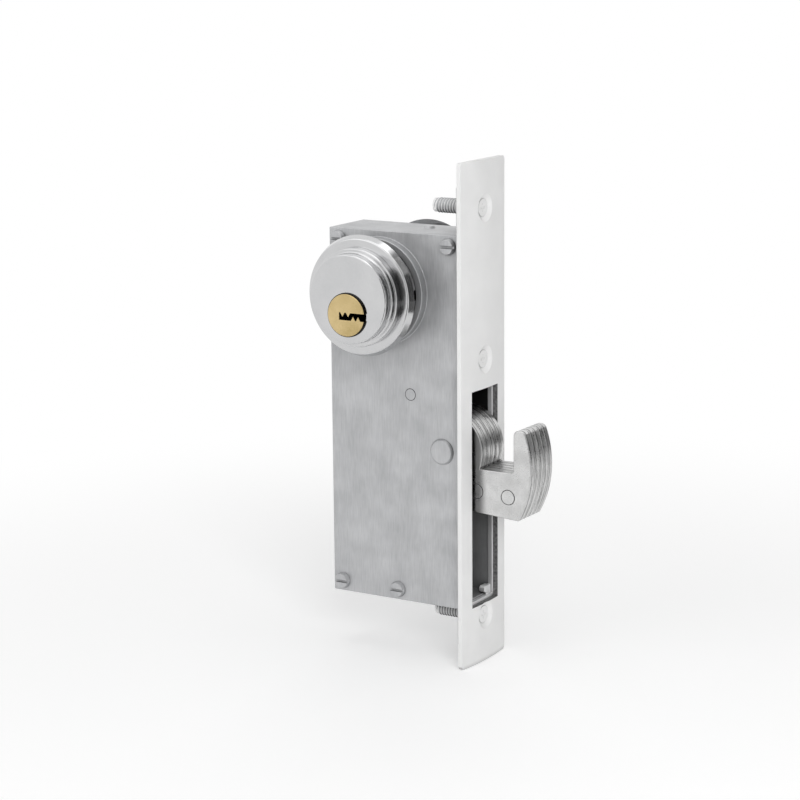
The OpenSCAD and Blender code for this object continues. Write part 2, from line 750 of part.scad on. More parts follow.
module link_bar() color("silver") difference() {
  union() {
    y_slab(-link_half, link_half) translate(drive_pin_at) rotate(link_a) bar(link_l);
    for (p = [drive_pin_at, hook_pin_at]) y_rod(p, -link_half, link_half, link_eye_r);
  }
  y_rod(drive_pin_at, -link_half - over, link_half + over, crank_pin_r + run_gap);
  y_rod(hook_pin_at, -link_half - over, link_half + over, crank_pin_r + open_pivot_gap);
}

// Hook plates, one outline for all
module hook_outline() polygon(concat(
  arc([0, 0], hub_r, hub_arm_a, tail_tangent_a, hub_n),
  arc(crank_vec, hook_tail_r, tail_tangent_a, tail_end_a, tail_n),
  arc(claw_center, claw_r, claw_low_a, claw_tip_a, claw_n),
  arc(claw_tip_out, claw_tip_r, claw_tip_a, 90, round_n),
  arc(claw_tip_in, claw_tip_r, 90, 180, round_n),
  arc(throat_fillet, throat_r, 0, -90, round_n)
));

// Room in the middle plate for the link's eye and its swing
module link_room() {
  far = 2 * hub_r + crank_r;
  back_a = link_a + 180;
  end_a = back_a + quarter;
  side_0 = link_cut * dir(back_a - 90);
  side_1 = link_cut * dir(end_a + 90);
  polygon([
    side_0, side_0 + far * dir(back_a), 2 * far * dir(back_a + quarter / 2),
    side_1 + far * dir(end_a), side_1
  ]);
}

module hook_plate(i) color("lightgray") difference() {
  y0 = -hook_half + (i - 1) * plate_t + lam_gap;
  y1 = y0 + plate_t - 2 * lam_gap;
  y_slab(y0, y1) translate(pivot_at) hook_outline();
  y_rod(pivot_at, y0 - over, y1 + over, bush_r + run_gap);
  for (p = hook_rivets_at) y_rod(pivot_at + p, y0 - over, y1 + over, hook_rivet_d / 2 + run_gap);
  if (abs(i - mid_plate) == 1) y_rod(hook_pin_at, y0 - over, y1 + over, crank_pin_r + run_gap);
  if (i == mid_plate) {
    y_rod(hook_pin_at, y0 - over, y1 + over, link_eye_cut);
    y_slab(y0 - over, y1 + over) translate(hook_pin_at) link_room();
  }
}

module hook_rivets() color("lightgray")
  for (p = hook_rivets_at) y_rod(pivot_at + p, -hook_half, hook_half, hook_rivet_d / 2);

module hook_crank_pin() color("silver")
  y_rod(hook_pin_at, -pinned_half, pinned_half, crank_pin_r);

module pivot_bush() color("goldenrod") difference() {
  y_rod(pivot_at, -hook_half, hook_half, bush_r);
  y_rod(pivot_at, -hook_half - over, hook_half + over, pivot_r + run_gap);
}

// Inner cylinder and thumbturn
module turn_cylinder_body() color("gainsboro") mirror([0, 1, 0]) difference() {
  turned(barrel_profile(turn_rear, concat(
    [[ring_d / 2, ring_y0]],
    arc([ring_d / 2 - inner_round, inner_face_y - inner_round], inner_round, 0, 90, round_n),
    [[0, inner_face_y]]
  )));
  y_rod(plug_at, -inner_face_y - over, -turn_rear + over, spindle_r + run_gap);
  y_rod(plug_at, -turn_rear - clip_room, -turn_rear + over, clip_r + pass_gap);
  groove_for_set_screw(-door_half + over, -turn_rear + over);
}

module turn_collar() color("gainsboro") mirror([0, 1, 0]) collar();

module wing_outline() {
  r = wing_t / 2;
  reach = wing_l / 2 - r;
  polygon(concat(arc([reach, 0], r, -90, 90, wing_n), arc([-reach, 0], r, 90, 270, wing_n)));
}

module thumbturn() color("gainsboro") difference() {
  union() {
    y_rod(plug_at, turn_rear + spindle_end, inner_face_y + over, spindle_r);
    y_rod(plug_at, inner_face_y + seat_gap, inner_face_y + base_h, base_r, base_r - base_taper);
    y_slab(inner_face_y + base_h - wing_root, inner_face_y + base_h + wing_h)
      translate(plug_at) wing_outline();
  }
  tail_bar(turn_rear - over, tail_out + pass_gap, seat_gap);
  difference() {
    y_rod(plug_at, clip_mid - clip_t / 2, clip_mid + clip_t / 2, spindle_r + over);
    y_rod(plug_at, turn_rear, turn_rear + clip_room, spindle_r - clip_groove);
  }
}

module thumbturn_clip() color("dimgray") difference() {
  clip_half = clip_t / 2 - seat_gap / 2;
  y_rod(plug_at, clip_mid - clip_half, clip_mid + clip_half, clip_r);
  y_rod(plug_at, turn_rear, turn_rear + clip_room, spindle_r - clip_groove + run_gap);
  box([plug_at.x - clip_open, turn_rear, plug_at.y - 2 * clip_r],
    [plug_at.x + clip_open, turn_rear + clip_room, plug_at.y]);
}

faceplate();
plate_screw(top_screw_z, stud_l);  // faceplate_screw_top
plate_screw(mid_screw_z, mid_screw_l);  // faceplate_screw_middle
plate_screw(low_screw_z, stud_l);  // faceplate_screw_bottom
case_front();
case_body();
case_cover();
cover_screws();
stop_post();
hook_pivot_pin();
pivot_washers();
detent_leaf();
detent_rivet();
set_screw(set_y[0]);  // set_screw_outer
set_screw(set_y[1]);  // set_screw_inner
cylinder_body();
cylinder_collar();
driver_pins();
pin_springs();
pin_cover();
turn_cylinder_body();
turn_collar();
key_plug();
key_pins();
plug_cap();
plug_cap_screws();
tailpiece();
drive_cam();
drive_crank_pin();
link_bar();
hook_plate(1);  // hook_plate_1
hook_plate(2);  // hook_plate_2
hook_plate(3);  // hook_plate_3
hook_plate(4);  // hook_plate_4
hook_plate(5);  // hook_plate_5
hook_rivets();
hook_crank_pin();
pivot_bush();
thumbturn();
thumbturn_clip();
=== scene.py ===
"""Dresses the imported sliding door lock: camera, studio, finishes, softened edges and screw threads.

Sizes are in millimetres in the CAD model's own frame, and MM turns them to metres.
"""
import math

import bpy
from mathutils import Matrix, Vector


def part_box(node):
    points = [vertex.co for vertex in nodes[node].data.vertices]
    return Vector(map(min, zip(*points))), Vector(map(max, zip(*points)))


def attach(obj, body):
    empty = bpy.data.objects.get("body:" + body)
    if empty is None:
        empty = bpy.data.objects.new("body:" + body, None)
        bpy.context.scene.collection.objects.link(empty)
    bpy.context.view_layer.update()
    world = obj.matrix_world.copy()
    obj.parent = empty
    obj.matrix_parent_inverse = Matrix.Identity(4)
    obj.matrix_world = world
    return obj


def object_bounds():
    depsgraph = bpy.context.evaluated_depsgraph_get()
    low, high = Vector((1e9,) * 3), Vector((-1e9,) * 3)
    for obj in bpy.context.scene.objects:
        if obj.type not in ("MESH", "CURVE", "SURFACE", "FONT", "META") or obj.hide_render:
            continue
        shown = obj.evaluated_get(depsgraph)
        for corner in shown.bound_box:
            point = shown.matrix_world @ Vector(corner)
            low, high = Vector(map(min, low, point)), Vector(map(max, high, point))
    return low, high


MM = 0.001

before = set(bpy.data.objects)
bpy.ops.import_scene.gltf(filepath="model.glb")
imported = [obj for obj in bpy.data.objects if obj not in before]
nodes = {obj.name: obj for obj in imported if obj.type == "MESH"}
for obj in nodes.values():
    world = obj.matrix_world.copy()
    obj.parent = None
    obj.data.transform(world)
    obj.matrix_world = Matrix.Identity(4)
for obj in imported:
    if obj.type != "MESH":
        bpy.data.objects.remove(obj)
cad_low, cad_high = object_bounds()

# The photograph's viewpoint
CAMERA_AT = (332.4, -584.9, 146.3)
CAMERA_RIGHT = (0.85300, 0.52184, -0.00889)
CAMERA_UP = (-0.10035, 0.18069, 0.97842)
CAMERA_BACK = (0.51218, -0.83369, 0.20649)
CAMERA_CLIP = (10.0, 20000.0)
LENS = 106.69
SENSOR = 36.0

# Studio
WHITE = (1.0, 1.0, 1.0, 1.0)
FLOOR_SIZE = 3000.0
FLOOR_GAP = 0.05
FLOOR_FADE = (90.0, 330.0)
FLOOR_GLOW = 0.22
FLOOR_LOOK = {"Base Color": (0.95, 0.95, 0.95, 1.0), "Roughness": 0.9, "Specular IOR Level": 0.1}
AMBIENT = 0.36
LAMPS = {
    "key": {"at": (-420, -760, 520), "size": 620, "watts": 0.8, "mirrored": True},
    "fill": {"at": (580, -710, 330), "size": 460, "watts": 4.9, "mirrored": False},
    "top": {"at": (60, -60, 900), "size": 620, "watts": 1.3, "mirrored": True},
    "back": {"at": (-380, 760, 420), "size": 620, "watts": 1.2, "mirrored": False},
}
CARDS = {
    "right": {"at": (300, 470, 0), "size": (340, 260), "grey": 0.08},
    "front": {"at": (200, -450, 90), "size": (300, 400), "grey": 0.02},
    "low": {"at": (50, -205, -62), "size": (120, 100), "grey": 0.02},
    "side": {"at": (440, 130, 115), "size": (300, 380), "grey": 0.06},
    "side_low": {"at": (190, 63, -42), "size": (140, 70), "grey": 0.12},
    "side_high": {"at": (265, 150, 400), "size": (330, 300), "grey": 0.3},
    "behind": {"at": (0, 700, 260), "size": (1600, 700), "grey": 1.0},
    "glint": {"at": (170, -640, 420), "size": (170, 170), "grey": 1.6},
}

# Which nodes take which finish
HOOK_PLATES = [f"hook_plate_{i}" for i in range(1, 6)]
FACE_SCREWS = [f"faceplate_screw_{place}" for place in ("top", "middle", "bottom")]
FINISHES = {
    "white_paint": ["faceplate"] + FACE_SCREWS,
    "zinc_steel": [
        "case_body", "case_cover", "cover_screws", "stop_post", "hook_pivot_pin", "pivot_washers",
        "detent_rivet",
    ],
    "front_steel": ["case_front"],
    "spring_steel": [
        "detent_leaf", "set_screw_outer", "set_screw_inner", "pin_springs", "thumbturn_clip",
    ],
    "satin_chrome": ["cylinder_body", "cylinder_collar", "turn_cylinder_body", "turn_collar", "thumbturn"],
    "brass": ["driver_pins", "pin_cover", "key_plug", "key_pins", "plug_cap"],
    "linkage_steel": [
        "plug_cap_screws", "tailpiece", "drive_cam", "drive_crank_pin", "link_bar", "hook_crank_pin",
    ],
    "hook_steel": HOOK_PLATES + ["hook_rivets"],
    "bronze": ["pivot_bush"],
}

# Width of the rounding on each node's edges, and the nodes where Blender's clamp would shrink it away
EDGES = {
    "faceplate": 0.35, "case_front": 0.2, "case_body": 0.25, "case_cover": 0.25, "cover_screws": 0.12,
    "hook_rivets": 0.16, "hook_pivot_pin": 0.12, "stop_post": 0.12, "drive_cam": 0.15, "link_bar": 0.15,
    "thumbturn": 0.6, "tailpiece": 0.15, "plug_cap": 0.1, "pin_cover": 0.1,
    **dict.fromkeys(FACE_SCREWS, 0.1), **dict.fromkeys(HOOK_PLATES, 0.28),
}
FREE_EDGES = HOOK_PLATES + FACE_SCREWS + ["case_front", "case_body", "case_cover"]
EDGE_ANGLE = 28.0
EDGE_STEPS = 3
FLAT_ANGLE = 0.6
WELD = 0.0005

# Metals: tones, span of roughness, grain and its depth, and painted shade in crevices where there is any
EVEN = (1.0, 1.0, 1.0)
UPRIGHT = (1.0, 1.0, 0.08)
METALS = {
    "zinc_steel": {
        "dark": (0.42, 0.425, 0.435), "light": (0.56, 0.565, 0.575), "rough": (0.36, 0.5),
        "metallic": 0.5, "grain": UPRIGHT, "grain_per_mm": 3.0, "depth": 0.003,
        # painted shade: the case darkens towards near-black in its hollows and where other parts stand close
        "crevice_shade": {"reach": 25.0, "span": (0.06, 0.62), "colour": (0.05, 0.05, 0.05)},
    },
    "front_steel": {
        "dark": (0.8, 0.8, 0.805), "light": (0.9, 0.9, 0.905), "rough": (0.36, 0.5),
        "metallic": 0.25, "grain": UPRIGHT, "grain_per_mm": 3.0, "depth": 0.003,
        # painted shade: the front strip darkens where other faces stand close
        "crevice_shade": {"reach": 4.0, "span": (0.2, 0.6), "colour": (0.08, 0.08, 0.08)},
    },
    "spring_steel": {"dark": (0.2, 0.2, 0.22), "light": (0.36, 0.36, 0.38), "rough": (0.3, 0.45)},
    "satin_chrome": {
        "dark": (0.56, 0.563, 0.57), "light": (0.63, 0.63, 0.635), "rough": (0.12, 0.2),
        "grain_per_mm": 5.0, "depth": 0.0012,
    },
    "brass": {
        "dark": (0.5, 0.38, 0.17), "light": (0.71, 0.56, 0.3), "rough": (0.36, 0.5),
        "grain_per_mm": 5.0, "depth": 0.012,
    },
    "linkage_steel": {"dark": (0.3, 0.3, 0.31), "light": (0.42, 0.42, 0.43), "rough": (0.32, 0.48)},
    "hook_steel": {
        "dark": (0.55, 0.55, 0.547), "light": (0.71, 0.71, 0.707), "rough": (0.24, 0.42),
        "grain_per_mm": 2.4, "depth": 0.012, "blotch_per_mm": 0.25,
        # painted shade: the hook darkens in the grooves between its plates
        "crevice_shade": {"reach": 0.8, "span": (0.45, 0.95), "colour": (0.04, 0.04, 0.04)},
    },
    "bronze": {"dark": (0.5, 0.33, 0.16), "light": (0.66, 0.47, 0.26), "rough": (0.4, 0.55)},
}
GRAIN_IN_TONE = 0.45
GRAIN_IN_ROUGHNESS = 0.5

# White paint
PAINT_DARK = (0.82, 0.82, 0.817)
PAINT_LIGHT = (0.86, 0.86, 0.857)
# painted shade in the paint's recesses and crevices, such as round the screw heads
PAINT_RECESS_SHADE = (0.5, 0.5, 0.5)
PAINT_ROUGH = (0.36, 0.46)

# The faceplate's slot, whose unpainted cut walls are coloured near-black as painted shade
SLOT = (-56.5, 7.9)
SLOT_HALF = 7.525
SLOT_EDGE = 0.06
SLOT_SHADE_DARK = (0.08, 0.08, 0.08)
SLOT_SHADE_LIGHT = (0.2, 0.2, 0.2)

# Painted shade: walls of the front strip that face along the Y axis are coloured darker
STRIP_WALL_SHADE = (0.4, 0.4, 0.405)

# Painted shadow: the key plug's sides and keyway, between its face and the door, are coloured near-black
PLUG_SPAN = (-27.7, -19.1)
PLUG_SHADOW = (0.012, 0.01, 0.008)

# Painted shadow on the hook's two outer faces, dark beside the slot and fading out towards the claw between
# these places
HOOK_SHADOW_FADE = (3.4, 6.4)
HOOK_SHADOW = (0.2, 0.2, 0.2)

# Painted shade: a dark band by each seam between the hook plates, placed across each plate as a share of its
# thickness, and streaks of painted dark reflection along the edges
SEAM_SHADE_AT = 0.27
SEAM_SHADE_HALF = (0.03, 0.1)
SEAM_SHADE_WAVE = 0.05
SEAM_SHADE_SHARE = 0.82
SEAM_SHADE_COLOUR = (0.07, 0.07, 0.07)
STREAK_SHARE = 0.6
ALONG_EDGE = (0.06, 1.0, 0.06)

# Painted shade: heights between which the case's inside is coloured darkest, above the hook's hub
SHADE_LOW = (-16.0, -2.0)
SHADE_HIGH = (11.0, 15.0)
SHADE_REACH = 25.0
SHADE = (0.012, 0.012, 0.012)

# Half the span across the door where the cylinders' barrels are left plain
BARREL_HALF = 19.0
BARREL_DARK = (0.13, 0.13, 0.135)
BARREL_LIGHT = (0.22, 0.22, 0.225)
BARREL_ROUGHER = 0.2

# Plated threads on the faceplate's screws: each screw's span along X
THREADS = {
    "faceplate_screw_top": (-2.2, -13.6), "faceplate_screw_middle": (-2.2, -7.2),
    "faceplate_screw_bottom": (-2.2, -13.6),
}
THREAD_PITCH = 0.9
THREAD_ROOT = 1.98
THREAD_CREST = 2.22
THREAD_SUNK = 0.1
THREAD_FOOT_HALF = THREAD_PITCH * 0.4
THREAD_TOP_HALF = 0.05
THREAD_STEPS = 28


def make_camera():
    camera = bpy.data.objects.new("camera", bpy.data.cameras.new("camera"))
    bpy.context.scene.collection.objects.link(camera)
    axes = Matrix((CAMERA_RIGHT, CAMERA_UP, CAMERA_BACK)).transposed().to_4x4()
    camera.matrix_world = Matrix.Translation(Vector(CAMERA_AT) * MM) @ axes
    camera.data.sensor_width = SENSOR
    camera.data.lens = LENS
    camera.data.clip_start, camera.data.clip_end = (distance * MM for distance in CAMERA_CLIP)
    bpy.context.scene.camera = camera


def link(tree, source, target):
    tree.links.new(source, target)


def seen_or_reflected(tree):
    """1 for a ray from the camera, a reflection or a refraction, and 0 for light that falls on things."""
    path = tree.nodes.new("ShaderNodeLightPath")
    first = tree.nodes.new("ShaderNodeMath")
    first.operation = "MAXIMUM"
    second = tree.nodes.new("ShaderNodeMath")
    second.operation = "MAXIMUM"
    link(tree, path.outputs["Is Camera Ray"], first.inputs[0])
    link(tree, path.outputs["Is Glossy Ray"], first.inputs[1])
    link(tree, first.outputs[0], second.inputs[0])
    link(tree, path.outputs["Is Transmission Ray"], second.inputs[1])
    return second.outputs[0]


def make_world():
    world = bpy.data.worlds.new("studio")
    world.use_nodes = True
    tree = world.node_tree
    ambient = tree.nodes["Background"]
    ambient.inputs["Color"].default_value = WHITE
    ambient.inputs["Strength"].default_value = AMBIENT
    white = tree.nodes.new("ShaderNodeBackground")
    white.inputs["Strength"].default_value = 1.0
    white.inputs["Color"].default_value = WHITE
    mix = tree.nodes.new("ShaderNodeMixShader")
    link(tree, seen_or_reflected(tree), mix.inputs[0])
    link(tree, ambient.outputs[0], mix.inputs[1])
    link(tree, white.outputs[0], mix.inputs[2])
    link(tree, mix.outputs[0], tree.nodes["World Output"].inputs["Surface"])
    bpy.context.scene.world = world


def flat_mesh(name, corners):
    mesh = bpy.data.meshes.new(name)
    mesh.from_pydata(corners, [], [tuple(range(len(corners)))])
    piece = bpy.data.objects.new(name, mesh)
    bpy.context.scene.collection.objects.link(piece)
    return piece


def make_floor():
    """A pale floor that takes the object's shadow near it and turns to plain white further out."""
    half = FLOOR_SIZE / 2 * MM
    z = cad_low.z - FLOOR_GAP * MM
    floor = flat_mesh("floor", [(-half, -half, z), (half, -half, z), (half, half, z), (-half, half, z)])
    material = bpy.data.materials.new("floor")
    material.use_nodes = True
    tree = material.node_tree
    shader = tree.nodes["Principled BSDF"]
    for name, value in FLOOR_LOOK.items():
        shader.inputs[name].default_value = value
    white = tree.nodes.new("ShaderNodeEmission")
    white.inputs["Strength"].default_value = 1.0
    place = tree.nodes.new("ShaderNodeNewGeometry")
    distance = tree.nodes.new("ShaderNodeVectorMath")
    distance.operation = "LENGTH"
    fade = tree.nodes.new("ShaderNodeMapRange")
    fade.interpolation_type = "SMOOTHSTEP"
    fade.inputs["From Min"].default_value = FLOOR_FADE[0] * MM
    fade.inputs["From Max"].default_value = FLOOR_FADE[1] * MM
    factor = tree.nodes.new("ShaderNodeMath")
    factor.operation = "MULTIPLY"
    mix = tree.nodes.new("ShaderNodeMixShader")
    link(tree, place.outputs["Position"], distance.inputs[0])
    link(tree, distance.outputs["Value"], fade.inputs["Value"])
    link(tree, fade.outputs["Result"], factor.inputs[0])
    link(tree, seen_or_reflected(tree), factor.inputs[1])
    link(tree, factor.outputs[0], mix.inputs[0])
    glow = tree.nodes.new("ShaderNodeEmission")
    lift = tree.nodes.new("ShaderNodeMath")
    lift.operation = "MULTIPLY"
    lift.inputs[1].default_value = FLOOR_GLOW
    link(tree, seen_or_reflected(tree), lift.inputs[0])
    link(tree, lift.outputs[0], glow.inputs["Strength"])
    near = tree.nodes.new("ShaderNodeAddShader")
    link(tree, shader.outputs[0], near.inputs[0])
    link(tree, glow.outputs[0], near.inputs[1])
    link(tree, near.outputs[0], mix.inputs[1])
    link(tree, white.outputs[0], mix.inputs[2])
    link(tree, mix.outputs[0], tree.nodes["Material Output"].inputs["Surface"])
    floor.data.materials.append(material)


def aimed(at):
    """A placing whose -Z axis looks from a point to the frame's origin."""
    turn = (-Vector(at)).to_track_quat("-Z", "Y").to_matrix().to_4x4()
    return Matrix.Translation(Vector(at) * MM) @ turn


def make_lamps():
    for name, spec in LAMPS.items():
        lamp = bpy.data.lights.new(name, "AREA")
        lamp.shape = "SQUARE"
        lamp.size = spec["size"] * MM
        lamp.energy = spec["watts"]
        holder = bpy.data.objects.new("lamp_" + name, lamp)
        holder.matrix_world = aimed(spec["at"])
        holder.visible_glossy = spec["mirrored"]
        bpy.context.scene.collection.objects.link(holder)


def make_cards():
    """Dark and bright cards that only reflections see, as a studio sets beside polished metal."""
    for name, spec in CARDS.items():
        w, h = (s / 2 * MM for s in spec["size"])
        card = flat_mesh("card_" + name, [(-w, -h, 0), (w, -h, 0), (w, h, 0), (-w, h, 0)])
        card.matrix_world = aimed(spec["at"])
        material = bpy.data.materials.new("card_" + name)
        material.use_nodes = True
        tree = material.node_tree
        glow = tree.nodes.new("ShaderNodeEmission")
        glow.inputs["Strength"].default_value = spec["grey"]
        link(tree, glow.outputs[0], tree.nodes["Material Output"].inputs["Surface"])
        card.data.materials.append(material)
        card.visible_camera = False
        card.visible_diffuse = False
        card.visible_shadow = False
        card.visible_transmission = False


class Finish:
    """A node material in the making, with short calls for the textures that the finishes share."""

    def __init__(self, name):
        self.material = bpy.data.materials.new(name)
        self.material.use_nodes = True
        self.tree = self.material.node_tree
        self.shader = self.tree.nodes["Principled BSDF"]
        coordinates = self.tree.nodes.new("ShaderNodeTexCoord")
        self.place = coordinates.outputs["Object"]
        self.turned = coordinates.outputs["Normal"]
        self.normal = None

    def set(self, **values):
        for name, value in values.items():
            self.shader.inputs[name.replace("_", " ")].default_value = value

    def scaled(self, per_mm, stretch=EVEN):
        node = self.tree.nodes.new("ShaderNodeMapping")
        node.inputs["Scale"].default_value = [s * per_mm / MM for s in stretch]
        link(self.tree, self.place, node.inputs["Vector"])
        return node.outputs["Vector"]

    def noise(self, per_mm, detail=3.0, stretch=EVEN):
        node = self.tree.nodes.new("ShaderNodeTexNoise")
        node.inputs["Scale"].default_value = 1.0
        node.inputs["Detail"].default_value = detail
        link(self.tree, self.scaled(per_mm, stretch), node.inputs["Vector"])
        return node.outputs["Fac"]

    def cells(self, per_mm):
        node = self.tree.nodes.new("ShaderNodeTexVoronoi")
        node.inputs["Scale"].default_value = 1.0
        link(self.tree, self.scaled(per_mm), node.inputs["Vector"])
        return node.outputs["Distance"]

    def axis(self, name):
        node = self.tree.nodes.new("ShaderNodeSeparateXYZ")
        link(self.tree, self.place, node.inputs[0])
        return node.outputs[name]

    def facing_y(self):
        """1 on faces square to the Y axis, and 0 on faces along it."""
        node = self.tree.nodes.new("ShaderNodeSeparateXYZ")
        link(self.tree, self.turned, node.inputs[0])
        return self.spread(self.math("ABSOLUTE", node.outputs["Y"]), start=0.8, end=0.95)

    def spread(self, factor, low=0.0, high=1.0, start=0.35, end=0.65, smooth=False):
        """Maps the values from start to end onto those from low to high."""
        node = self.tree.nodes.new("ShaderNodeMapRange")
        if smooth:
            node.interpolation_type = "SMOOTHSTEP"
        for name, value in (("From Min", start), ("From Max", end), ("To Min", low), ("To Max", high)):
            node.inputs[name].default_value = value
        link(self.tree, factor, node.inputs["Value"])
        return node.outputs["Result"]

    def fade(self, name, span, low=0.0, high=1.0):
        """Goes smoothly from low to high along an axis, between two places in millimetres."""
        start, end = span
        return self.spread(self.axis(name), low, high, start * MM, end * MM, smooth=True)

    def math(self, operation, a, b=0.0):
        node = self.tree.nodes.new("ShaderNodeMath")
        node.operation = operation
        for socket, value in zip(node.inputs, (a, b)):
            if isinstance(value, (int, float)):
                socket.default_value = value
            else:
                link(self.tree, value, socket)
        return node.outputs[0]

    def weighted(self, a, b, share):
        """The sum of two values, in which the first has the given share."""
        return self.math("ADD", self.math("MULTIPLY", a, share), self.math("MULTIPLY", b, 1.0 - share))

    def colours(self, factor, first, second):
        node = self.tree.nodes.new("ShaderNodeMix")
        node.data_type = "RGBA"
        link(self.tree, factor, node.inputs["Factor"])
        for socket, value in ((node.inputs[6], first), (node.inputs[7], second)):
            if isinstance(value, tuple):
                socket.default_value = value + (1.0,)
            else:
                link(self.tree, value, socket)
        return node.outputs[2]

    def crevices(self, reach):
        """1 on open faces, falling towards 0 where another face stands close."""
        node = self.tree.nodes.new("ShaderNodeAmbientOcclusion")
        node.inputs["Distance"].default_value = reach * MM
        return node.outputs["AO"]

    def bump(self, height, depth, strength=1.0):
        node = self.tree.nodes.new("ShaderNodeBump")
        node.inputs["Strength"].default_value = strength
        node.inputs["Distance"].default_value = depth * MM
        link(self.tree, height, node.inputs["Height"])
        if self.normal is not None:
            link(self.tree, self.normal, node.inputs["Normal"])
        self.normal = node.outputs["Normal"]

    def done(self, colour, roughness):
        link(self.tree, colour, self.shader.inputs["Base Color"])
        link(self.tree, roughness, self.shader.inputs["Roughness"])
        if self.normal is not None:
            link(self.tree, self.normal, self.shader.inputs["Normal"])
        return self.material


def slot_cut(f):
    """1 on the unpainted cut walls of the faceplate's slot, coloured near-black as painted shade, and 0 on
    its white faces.
    """
    low, high = SLOT
    inside = f.math("LESS_THAN", f.math("ABSOLUTE", f.axis("Y")), (SLOT_HALF + SLOT_EDGE) * MM)
    above = f.math("GREATER_THAN", f.axis("Z"), (low - SLOT_EDGE) * MM)
    below = f.math("LESS_THAN", f.axis("Z"), (high + SLOT_EDGE) * MM)
    return f.math("MULTIPLY", inside, f.math("MULTIPLY", above, below))


def white_paint():
    f = Finish("white_paint")
    f.set(Specular_IOR_Level=0.45)
    shade = f.colours(f.spread(f.noise(per_mm=0.09)), PAINT_DARK, PAINT_LIGHT)
    # painted shade: the paint darkens in the screw recesses and other crevices
    shade = f.colours(f.spread(f.crevices(reach=1.6), start=0.35, end=0.95), PAINT_RECESS_SHADE, shade)
    # painted shade: the slot's cut walls are coloured near-black
    bare_and_shaded = f.colours(f.spread(f.noise(per_mm=1.2)), SLOT_SHADE_DARK, SLOT_SHADE_LIGHT)
    shade = f.colours(slot_cut(f), shade, bare_and_shaded)
    f.bump(f.noise(per_mm=0.9, detail=2.0), depth=0.012)
    f.bump(f.noise(per_mm=4.0, detail=2.0), depth=0.003)
    return f.done(shade, f.spread(f.noise(per_mm=0.5), *PAINT_ROUGH))


def metal(name):
    """The base of a metal: blotchy tone, a grain along its stretch, and painted shade in crevices where it
    has any.
    """
    spec = METALS[name]
    f = Finish(name)
    f.set(Metallic=spec.get("metallic", 1.0))
    fine = f.noise(spec.get("grain_per_mm", 2.0), detail=4.0, stretch=spec.get("grain", EVEN))
    tone = f.weighted(fine, f.noise(spec.get("blotch_per_mm", 0.12)), GRAIN_IN_TONE)
    shade = f.colours(f.spread(tone), spec["dark"], spec["light"])
    # painted shade: the tone darkens towards the given colour where other faces stand close
    crevice_shade = spec.get("crevice_shade")
    if crevice_shade:
        start, end = crevice_shade["span"]
        open_faces = f.spread(f.crevices(crevice_shade["reach"]), start=start, end=end)
        shade = f.colours(open_faces, crevice_shade["colour"], shade)
    f.bump(fine, spec.get("depth", 0.004))
    rough = f.weighted(fine, f.noise(per_mm=0.4), GRAIN_IN_ROUGHNESS)
    return f, shade, f.spread(rough, *spec["rough"])


def plain_metal(name):
    f, shade, rough = metal(name)
    return f.done(shade, rough)


def zinc_steel():
    f, shade, rough = metal("zinc_steel")
    # painted shade: the case's deep hollows between these heights are coloured near-black
    heights = f.math("MULTIPLY", f.fade("Z", SHADE_LOW), f.fade("Z", SHADE_HIGH, 1.0, 0.0))
    deep = f.spread(f.crevices(SHADE_REACH), 1.0, 0.0, start=0.35, end=0.8)
    return f.done(f.colours(f.math("MULTIPLY", deep, heights), shade, SHADE), rough)


def front_steel():
    f, shade, rough = metal("front_steel")
    # painted shade: the strip's walls facing along Y are coloured darker than its front
    return f.done(f.colours(f.facing_y(), shade, STRIP_WALL_SHADE), rough)


def satin_chrome():
    f, shade, rough = metal("satin_chrome")
    barrel = f.math("LESS_THAN", f.math("ABSOLUTE", f.axis("Y")), BARREL_HALF * MM)
    plain = f.colours(f.spread(f.noise(per_mm=0.8)), BARREL_DARK, BARREL_LIGHT)
    rougher = f.math("MULTIPLY", barrel, BARREL_ROUGHER)
    return f.done(f.colours(barrel, shade, plain), f.math("ADD", rough, rougher))


def brass():
    f, shade, rough = metal("brass")
    face, door = PLUG_SPAN
    y = f.axis("Y")
    # painted shadow: brass between the plug's face and the door is coloured near-black
    side = f.math("MULTIPLY", f.math("GREATER_THAN", y, face * MM), f.math("LESS_THAN", y, door * MM))
    return f.done(f.colours(side, shade, PLUG_SHADOW), rough)


def painted_seams_and_streaks(f, faces):
    """How dark the plates' edges are made: painted shade in a band by each seam, painted dark reflection in
    streaks, and 0 on the plates' faces.
    """
    sides = [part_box(name)[0].y for name in HOOK_PLATES]
    pitch = (max(sides) - min(sides)) / (len(sides) - 1)
    across = f.math("FRACT", f.math("DIVIDE", f.math("SUBTRACT", f.axis("Y"), min(sides)), pitch))
    across = f.math("ADD", across, f.spread(f.noise(per_mm=0.6, detail=2.0), -SEAM_SHADE_WAVE, SEAM_SHADE_WAVE))
    band = f.spread(f.math("ABSOLUTE", f.math("SUBTRACT", across, SEAM_SHADE_AT)), 1.0, 0.0, *SEAM_SHADE_HALF)
    along = f.noise(per_mm=1.6, detail=2.0, stretch=ALONG_EDGE)
    streaks = f.spread(along, STREAK_SHARE, 0.0, start=0.36, end=0.45)
    edges = f.math("SUBTRACT", SEAM_SHADE_SHARE, f.math("MULTIPLY", faces, SEAM_SHADE_SHARE))
    return f.math("MULTIPLY", f.math("MAXIMUM", band, streaks), edges)


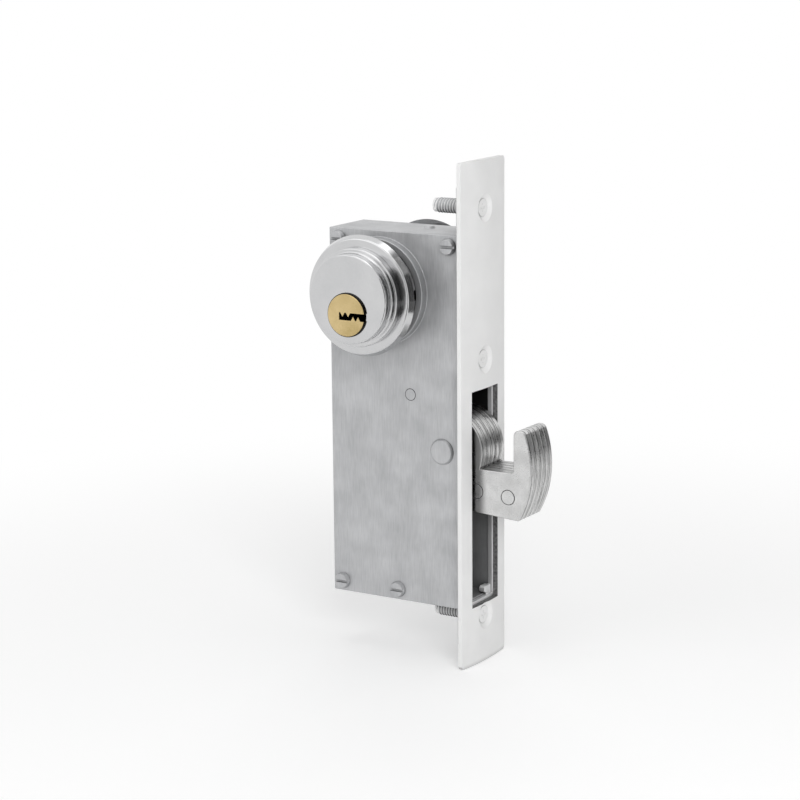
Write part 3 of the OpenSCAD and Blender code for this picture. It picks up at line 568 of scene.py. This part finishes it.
def hook_steel():
    f, shade, rough = metal("hook_steel")
    pits = f.spread(f.cells(per_mm=0.55), start=0.02, end=0.16)
    f.bump(pits, depth=0.015, strength=0.5)
    faces = f.facing_y()
    # painted shadow: the hook's outer faces darken near the slot and fade out towards the claw
    hook_shadowed = f.math("MULTIPLY", f.fade("X", HOOK_SHADOW_FADE, 1.0, 0.0), faces)
    shade = f.colours(hook_shadowed, shade, HOOK_SHADOW)
    # painted shade by the plates' seams and painted dark reflection streaks on their edges
    return f.done(f.colours(painted_seams_and_streaks(f, faces), shade, SEAM_SHADE_COLOUR), rough)


def soften(piece, width, clamped):
    """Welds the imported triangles, rounds the sharp edges inwards and smooths the shading."""
    weld = piece.modifiers.new("weld", "WELD")
    weld.merge_threshold = WELD * MM
    flat = piece.modifiers.new("flat", "DECIMATE")
    flat.decimate_type = "DISSOLVE"
    flat.angle_limit = math.radians(FLAT_ANGLE)
    bevel = piece.modifiers.new("edges", "BEVEL")
    bevel.width = width * MM
    bevel.segments = EDGE_STEPS
    bevel.limit_method = "ANGLE"
    bevel.angle_limit = math.radians(EDGE_ANGLE)
    bevel.use_clamp_overlap = clamped
    piece.modifiers.new("normals", "WEIGHTED_NORMAL")


def thread_profile(crest):
    """The ridge's section: offsets along the screw and radii, with its foot sunk in the shank."""
    sunk = THREAD_ROOT - THREAD_SUNK
    rising = [(THREAD_FOOT_HALF, sunk), (THREAD_FOOT_HALF, THREAD_ROOT), (THREAD_TOP_HALF, crest)]
    return rising + [(-dx, r) for dx, r in reversed(rising)]


def screw_thread(node, x0, x1):
    """A helical ridge round a screw's shank, tapered away at both ends."""
    low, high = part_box(node)
    z = (low.z + high.z) / 2 / MM
    turns = (x0 - x1) / THREAD_PITCH
    count = int(turns * THREAD_STEPS)
    ring = len(thread_profile(THREAD_CREST))
    points, faces = [], []
    for i in range(count + 1):
        a = 2 * math.pi * i / THREAD_STEPS
        x = x0 - THREAD_PITCH * i / THREAD_STEPS
        rise = min(1.0, i / THREAD_STEPS, (count - i) / THREAD_STEPS)
        for dx, r in thread_profile(THREAD_ROOT + (THREAD_CREST - THREAD_ROOT) * rise):
            points.append(((x + dx) * MM, r * math.cos(a) * MM, (z + r * math.sin(a)) * MM))
    for i in range(count):
        for k in range(ring):
            a, b = i * ring + k, i * ring + (k + 1) % ring
            faces.append((a, b, b + ring, a + ring))
    faces.append(tuple(range(ring - 1, -1, -1)))
    faces.append(tuple(range(count * ring, count * ring + ring)))
    mesh = bpy.data.meshes.new(node + "_thread")
    mesh.from_pydata(points, [], faces)
    mesh.update()
    piece = bpy.data.objects.new(node + "_thread", mesh)
    bpy.context.scene.collection.objects.link(piece)
    return piece


def dress():
    makers = (white_paint, zinc_steel, front_steel, satin_chrome, brass, hook_steel)
    made = {maker.__name__: maker() for maker in makers}
    for finish, names in FINISHES.items():
        if finish not in made:
            made[finish] = plain_metal(finish)
        for name in names:
            nodes[name].data.materials.clear()
            nodes[name].data.materials.append(made[finish])
            if name in EDGES:
                soften(nodes[name], EDGES[name], name not in FREE_EDGES)
    for name, span in THREADS.items():
        piece = screw_thread(name, *span)
        piece.data.materials.append(made["zinc_steel"])
        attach(piece, "case")


bpy.context.scene.view_settings.view_transform = "Standard"
make_camera()
make_world()
make_floor()
make_lamps()
make_cards()
dress()
